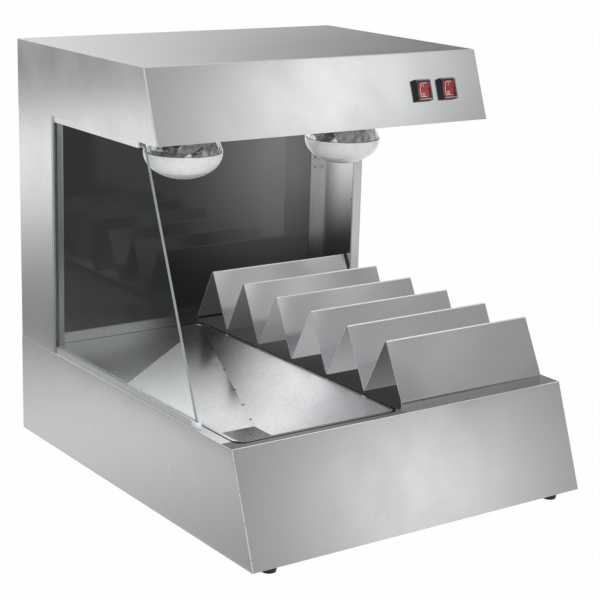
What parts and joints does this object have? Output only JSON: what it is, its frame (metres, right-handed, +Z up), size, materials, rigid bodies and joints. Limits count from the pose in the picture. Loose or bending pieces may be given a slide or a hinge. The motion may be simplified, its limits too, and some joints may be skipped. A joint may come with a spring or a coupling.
{
  "type": "chip warmer",
  "caption": "Counter-top chip warmer: folded steel base with a sloped front, lift-out pan and ridged bag rack, glass back and side, and a hood with reflector heat lamps and rocker switches.",
  "frame": {"origin": "middle of the underside of the whole bounding box, on the surface the feet stand on", "axes": "+X to the right seen from the front, +Y to the back, +Z up"},
  "size_m": [0.62, 0.726, 0.6755],
  "materials": {
    "cabinet_steel": "satin stainless sheet with a fine upright grain",
    "plain_steel": "mill-finish stainless sheet",
    "pan_steel": "smooth, softly mirroring stainless sheet",
    "rack_steel": "satin stainless sheet with bright folds",
    "channel_steel": "bright satin trim channel",
    "screw_steel": "bright stainless fastener",
    "tinted_glass": "polished dark-tinted pane",
    "clear_glass": "polished clear pane with ground edges",
    "clear_seal": "translucent clear plastic",
    "clear_cover": "clear soft plastic, see-through",
    "foot_rubber": "matte black rubber",
    "frosted_glass": "inside-frosted white lamp glass",
    "lamp_mirror": "crinkled silver mirror under smooth glass",
    "lamp_cap": "rolled thin metal",
    "contact_brass": "pressed brass",
    "ceramic": "glazed white ceramic, weighed as plastic",
    "switch_black": "moulded black plastic",
    "switch_red": "moulded red plastic, see-through enough to glow",
    "terminal_white": "moulded white plastic",
    "gland_black": "moulded black plastic",
    "wire_insulation": "heat-proof sleeve"
  },
  "bodies": {
    "cabinet": {"base_shell": "cabinet_steel", "base_bottom_plate": "plain_steel", "bottom_plate_screws": "screw_steel", "foot_front_left": "foot_rubber", "foot_front_right": "foot_rubber", "foot_rear_left": "foot_rubber", "foot_rear_right": "foot_rubber", "foot_bolts": "screw_steel", "pan_seat_frame": "plain_steel", "crumb_tray": "plain_steel", "left_column": "cabinet_steel", "right_column": "cabinet_steel", "column_bolts": "screw_steel", "back_glass": "tinted_glass", "back_glass_channel_left": "channel_steel", "back_glass_channel_right": "channel_steel", "channel_rivets": "screw_steel", "column_rivets": "screw_steel", "deck_rivets": "screw_steel", "side_glass_channel_bottom": "channel_steel", "side_glass_channel_top": "channel_steel", "side_glass_channel_rear": "channel_steel", "side_glass_seals": "clear_seal", "side_glass": "clear_glass", "side_glass_stop": "clear_seal", "hood_shell": "cabinet_steel", "hood_underside_panel": "plain_steel", "underside_panel_screws": "screw_steel", "hood_rear_panel": "plain_steel", "rear_panel_screws": "screw_steel", "lamp_rail": "plain_steel", "lampholder_screws": "screw_steel", "lampholder_left": "ceramic", "lampholder_right": "ceramic", "lampholder_sleeve_left": "contact_brass", "lampholder_sleeve_right": "contact_brass", "switch_housing_left": "switch_black", "switch_housing_right": "switch_black", "switch_cover_left": "clear_cover", "switch_cover_right": "clear_cover", "switch_blades": "contact_brass", "terminal_block": "terminal_white", "terminal_screws": "contact_brass", "earth_stud": "contact_brass", "cable_gland": "gland_black", "gland_lock_nut": "gland_black", "hood_wiring": "wire_insulation"},
    "rocker_left": {"switch_rocker_left": "switch_red"},
    "rocker_right": {"switch_rocker_right": "switch_red"},
    "chip_pan_body": {"chip_pan": "pan_steel"},
    "rib_rack_body": {"rib_rack": "rack_steel"},
    "lamp_left": {"lamp_left_face": "frosted_glass", "lamp_left_reflector": "lamp_mirror", "lamp_left_cap": "lamp_cap", "lamp_left_contact": "contact_brass"},
    "lamp_right": {"lamp_right_face": "frosted_glass", "lamp_right_reflector": "lamp_mirror", "lamp_right_cap": "lamp_cap", "lamp_right_contact": "contact_brass"}
  },
  "joints": [
    {"name": "rocker_left_tilt", "type": "hinge", "parent": "cabinet", "child": "rocker_left", "pos_m": [0.186, -0.07894, 0.61775], "axis": [-1, 0, 0], "range_deg": [0, 22]},
    {"name": "rocker_right_tilt", "type": "hinge", "parent": "cabinet", "child": "rocker_right", "pos_m": [0.237, -0.07894, 0.61775], "axis": [-1, 0, 0], "range_deg": [0, 22]},
    {"name": "chip_pan_lift", "type": "slide", "parent": "cabinet", "child": "chip_pan_body", "axis": [0, 0, 1], "range_m": [0, 0.075]},
    {"name": "rib_rack_lift", "type": "slide", "parent": "cabinet", "child": "rib_rack_body", "axis": [0, 0, 1], "range_m": [0, 0.1]},
    {"name": "lamp_left_removal", "type": "slide", "parent": "cabinet", "child": "lamp_left", "axis": [0, 0, -1], "range_m": [0, 0.036]},
    {"name": "lamp_right_removal", "type": "slide", "parent": "cabinet", "child": "lamp_right", "axis": [0, 0, -1], "range_m": [0, 0.036]}
  ]
}
